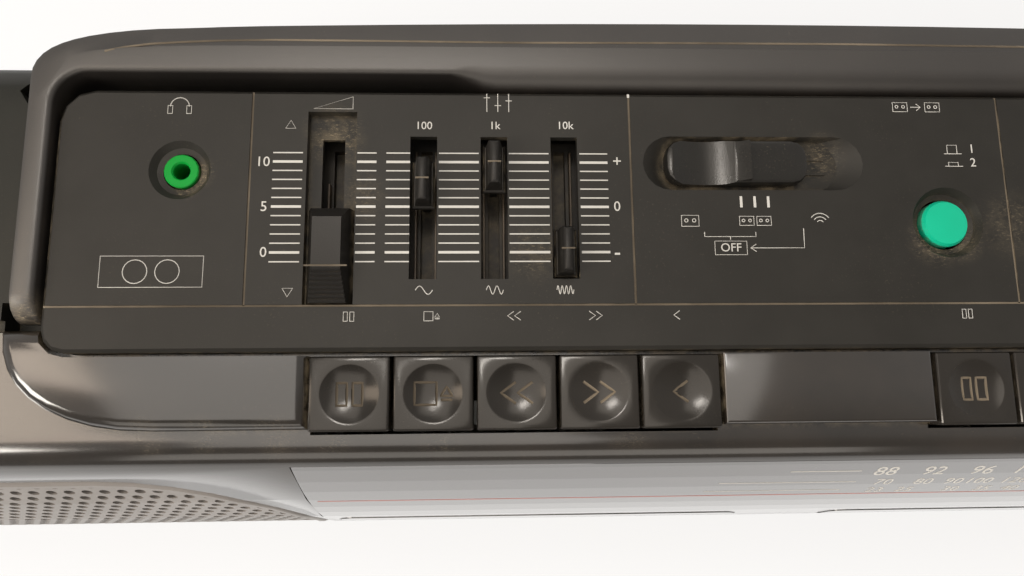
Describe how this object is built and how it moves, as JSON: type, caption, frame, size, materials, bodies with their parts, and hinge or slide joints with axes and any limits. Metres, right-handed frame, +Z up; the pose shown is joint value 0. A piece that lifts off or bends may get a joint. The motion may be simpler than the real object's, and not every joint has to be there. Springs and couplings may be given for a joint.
{
  "type": "twin cassette radio recorder",
  "caption": "Portable stereo radio with two cassette decks, barrel-shaped front, top control panel with sliders and keys, and a fold-down carry handle.",
  "frame": {"origin": "on the floor under the middle of the recorder, halfway between the front of its barrel and the rear of its folded handle", "axes": "+X to the right as seen from the front, +Y to the rear, +Z up"},
  "size_m": [0.57, 0.1156, 0.1652],
  "materials": {
    "cabinet": "satin moulded, dark grey-brown",
    "panel": "fine satin, dark grey",
    "handle": "satin moulded",
    "key": "satin moulded",
    "knob": "black satin",
    "green": "glossy green",
    "grille": "satin paint on punched sheet",
    "cone": "matt paper",
    "steel": "zinc plated",
    "plated": "bright plated",
    "board": "laminate board",
    "clear": "smoked clear acrylic",
    "red": "red painted",
    "rubber": "matt black",
    "spindle": "white-grey acetal",
    "laminate": "varnished iron laminations"
  },
  "bodies": {
    "cabinet": {"front_cabinet": "cabinet", "rear_cabinet": "cabinet", "control_panel": "panel", "control_board": "board", "headphone_socket": "green", "microphone_socket": "green", "dial_window": "clear", "tape_motor": "steel", "main_board": "board", "power_transformer": "laminate", "mains_inlet": "rubber", "speaker_grille_left": "grille", "speaker_left": "steel", "speaker_cone_left": "cone", "deck_chassis_left": "steel", "battery_contact_left": "plated", "speaker_grille_right": "grille", "speaker_right": "steel", "speaker_cone_right": "cone", "deck_chassis_right": "steel", "battery_contact_right": "plated"},
    "carry_handle": {"carry_handle": "handle"},
    "pause_key_left": {"pause_key_left": "key"},
    "stop_eject_key_left": {"stop_eject_key_left": "key"},
    "fast_forward_key_left": {"fast_forward_key_left": "key"},
    "rewind_key_left": {"rewind_key_left": "key"},
    "play_key_left": {"play_key_left": "key"},
    "pause_key_right": {"pause_key_right": "key"},
    "stop_eject_key_right": {"stop_eject_key_right": "key"},
    "fast_forward_key_right": {"fast_forward_key_right": "key"},
    "rewind_key_right": {"rewind_key_right": "key"},
    "play_key_right": {"play_key_right": "key"},
    "record_key_right": {"record_key_right": "key"},
    "volume_knob": {"volume_knob": "knob"},
    "bass_knob": {"bass_knob": "knob"},
    "mid_knob": {"mid_knob": "knob"},
    "treble_knob": {"treble_knob": "knob"},
    "function_knob": {"function_knob": "knob"},
    "band_knob": {"band_knob": "knob"},
    "dub_speed_button": {"dub_speed_button": "green"},
    "tuning_knob": {"tuning_knob": "knob"},
    "dial_pointer": {"dial_pointer": "red"},
    "cassette_door_left": {"cassette_door_left": "cabinet", "door_window_left": "clear"},
    "supply_spindle_left": {"supply_spindle_left": "spindle"},
    "takeup_spindle_left": {"takeup_spindle_left": "spindle"},
    "capstan_left": {"capstan_left": "steel"},
    "head_plate_left": {"head_plate_left": "plated"},
    "pinch_roller_left": {"pinch_roller_left": "rubber"},
    "cassette_door_right": {"cassette_door_right": "cabinet", "door_window_right": "clear"},
    "supply_spindle_right": {"supply_spindle_right": "spindle"},
    "takeup_spindle_right": {"takeup_spindle_right": "spindle"},
    "capstan_right": {"capstan_right": "steel"},
    "head_plate_right": {"head_plate_right": "plated"},
    "pinch_roller_right": {"pinch_roller_right": "rubber"},
    "battery_door": {"battery_door": "cabinet"},
    "antenna_knuckle": {"antenna_knuckle": "plated"},
    "antenna_tube": {"antenna_tube": "plated"},
    "antenna_rod": {"antenna_rod": "plated"}
  },
  "joints": [
    {"name": "handle_pivot", "type": "hinge", "parent": "cabinet", "child": "carry_handle", "pos_m": [0, -0.0026, 0.154], "axis": [1, 0, 0], "range_deg": [0, 95]},
    {"name": "pause_key_left_press", "type": "slide", "parent": "cabinet", "child": "pause_key_left", "axis": [0, 0, -1], "range_m": [0, 0.004], "stiffness_N_per_m": 250, "springref_m": -0.003},
    {"name": "stop_eject_key_left_press", "type": "slide", "parent": "cabinet", "child": "stop_eject_key_left", "axis": [0, 0, -1], "range_m": [0, 0.004], "stiffness_N_per_m": 250, "springref_m": -0.003},
    {"name": "fast_forward_key_left_press", "type": "slide", "parent": "cabinet", "child": "fast_forward_key_left", "axis": [0, 0, -1], "range_m": [0, 0.004], "stiffness_N_per_m": 250, "springref_m": -0.003},
    {"name": "rewind_key_left_press", "type": "slide", "parent": "cabinet", "child": "rewind_key_left", "axis": [0, 0, -1], "range_m": [0, 0.004], "stiffness_N_per_m": 250, "springref_m": -0.003},
    {"name": "play_key_left_press", "type": "slide", "parent": "cabinet", "child": "play_key_left", "axis": [0, 0, -1], "range_m": [0, 0.004], "stiffness_N_per_m": 250, "springref_m": -0.003},
    {"name": "pause_key_right_press", "type": "slide", "parent": "cabinet", "child": "pause_key_right", "axis": [0, 0, -1], "range_m": [0, 0.004], "stiffness_N_per_m": 250, "springref_m": -0.003},
    {"name": "stop_eject_key_right_press", "type": "slide", "parent": "cabinet", "child": "stop_eject_key_right", "axis": [0, 0, -1], "range_m": [0, 0.004], "stiffness_N_per_m": 250, "springref_m": -0.003},
    {"name": "fast_forward_key_right_press", "type": "slide", "parent": "cabinet", "child": "fast_forward_key_right", "axis": [0, 0, -1], "range_m": [0, 0.004], "stiffness_N_per_m": 250, "springref_m": -0.003},
    {"name": "rewind_key_right_press", "type": "slide", "parent": "cabinet", "child": "rewind_key_right", "axis": [0, 0, -1], "range_m": [0, 0.004], "stiffness_N_per_m": 250, "springref_m": -0.003},
    {"name": "play_key_right_press", "type": "slide", "parent": "cabinet", "child": "play_key_right", "axis": [0, 0, -1], "range_m": [0, 0.004], "stiffness_N_per_m": 250, "springref_m": -0.003},
    {"name": "record_key_right_press", "type": "slide", "parent": "cabinet", "child": "record_key_right", "axis": [0, 0, -1], "range_m": [0, 0.004], "stiffness_N_per_m": 250, "springref_m": -0.003},
    {"name": "volume_slide", "type": "slide", "parent": "cabinet", "child": "volume_knob", "axis": [0, 1, 0], "range_m": [0, 0.02]},
    {"name": "bass_slide", "type": "slide", "parent": "cabinet", "child": "bass_knob", "axis": [0, 1, 0], "range_m": [-0.0151, 0.0049]},
    {"name": "mid_slide", "type": "slide", "parent": "cabinet", "child": "mid_knob", "axis": [0, 1, 0], "range_m": [-0.0187, 0.0013]},
    {"name": "treble_slide", "type": "slide", "parent": "cabinet", "child": "treble_knob", "axis": [0, 1, 0], "range_m": [0, 0.02]},
    {"name": "function_slide", "type": "slide", "parent": "cabinet", "child": "function_knob", "axis": [1, 0, 0], "range_m": [0, 0.006]},
    {"name": "band_slide", "type": "slide", "parent": "cabinet", "child": "band_knob", "axis": [1, 0, 0], "range_m": [0, 0.009]},
    {"name": "dub_speed_press", "type": "slide", "parent": "cabinet", "child": "dub_speed_button", "axis": [0, 0, -1], "range_m": [0, 0.003], "stiffness_N_per_m": 200, "springref_m": -0.002},
    {"name": "tuning_turn", "type": "hinge", "parent": "cabinet", "child": "tuning_knob", "pos_m": [0.14499, 0.01814, 0.158], "axis": [0, 0, -1], "range_deg": [-820, 266]},
    {"name": "pointer_slide", "type": "slide", "parent": "cabinet", "child": "dial_pointer", "axis": [1, 0, 0], "range_m": [-0.0432, 0.0142]},
    {"name": "door_hinge_left", "type": "hinge", "parent": "cabinet", "child": "cassette_door_left", "pos_m": [-0.066, -0.0417, 0.02], "axis": [1, 0, 0], "range_deg": [0, 35]},
    {"name": "supply_spin_left", "type": "hinge", "parent": "cabinet", "child": "supply_spindle_left", "pos_m": [-0.08725, -0.0339, 0.059], "axis": [0, 1, 0], "continuous": true},
    {"name": "takeup_spin_left", "type": "hinge", "parent": "cabinet", "child": "takeup_spindle_left", "pos_m": [-0.04475, -0.0339, 0.059], "axis": [0, 1, 0], "continuous": true},
    {"name": "capstan_spin_left", "type": "hinge", "parent": "cabinet", "child": "capstan_left", "pos_m": [-0.041, -0.0274, 0.0853], "axis": [0, 1, 0], "continuous": true},
    {"name": "head_slide_left", "type": "slide", "parent": "cabinet", "child": "head_plate_left", "axis": [0, 0, -1], "range_m": [0, 0.005]},
    {"name": "pinch_spin_left", "type": "hinge", "parent": "head_plate_left", "child": "pinch_roller_left", "pos_m": [-0.041, -0.0325, 0.098], "axis": [0, 1, 0], "continuous": true},
    {"name": "door_hinge_right", "type": "hinge", "parent": "cabinet", "child": "cassette_door_right", "pos_m": [0.066, -0.0417, 0.02], "axis": [1, 0, 0], "range_deg": [0, 35]},
    {"name": "supply_spin_right", "type": "hinge", "parent": "cabinet", "child": "supply_spindle_right", "pos_m": [0.04475, -0.0339, 0.059], "axis": [0, 1, 0], "continuous": true},
    {"name": "takeup_spin_right", "type": "hinge", "parent": "cabinet", "child": "takeup_spindle_right", "pos_m": [0.08725, -0.0339, 0.059], "axis": [0, 1, 0], "continuous": true},
    {"name": "capstan_spin_right", "type": "hinge", "parent": "cabinet", "child": "capstan_right", "pos_m": [0.091, -0.0274, 0.0853], "axis": [0, 1, 0], "continuous": true},
    {"name": "head_slide_right", "type": "slide", "parent": "cabinet", "child": "head_plate_right", "axis": [0, 0, -1], "range_m": [0, 0.005]},
    {"name": "pinch_spin_right", "type": "hinge", "parent": "head_plate_right", "child": "pinch_roller_right", "pos_m": [0.091, -0.0325, 0.098], "axis": [0, 1, 0], "continuous": true},
    {"name": "battery_door_off", "type": "slide", "parent": "cabinet", "child": "battery_door", "axis": [0, 1, 0], "range_m": [0, 0.03]},
    {"name": "antenna_swivel", "type": "hinge", "parent": "cabinet", "child": "antenna_knuckle", "pos_m": [0.2735, 0.0475, 0.138], "axis": [0, -1, 0], "range_deg": [0, 180]},
    {"name": "antenna_tilt", "type": "hinge", "parent": "antenna_knuckle", "child": "antenna_tube", "pos_m": [0.2735, 0.0475, 0.138], "axis": [1, 0, 0], "range_deg": [0, 90]},
    {"name": "antenna_extend", "type": "slide", "parent": "antenna_tube", "child": "antenna_rod", "axis": [0, 0, -1], "range_m": [0, 0.055]}
  ],
  "couplings": [
    {"joint": "pointer_slide", "follows": "tuning_turn", "m_per_rad": 0.003},
    {"joint": "head_slide_left", "follows": "play_key_left_press", "ratio": 1.25},
    {"joint": "head_slide_right", "follows": "play_key_right_press", "ratio": 1.25}
  ]
}
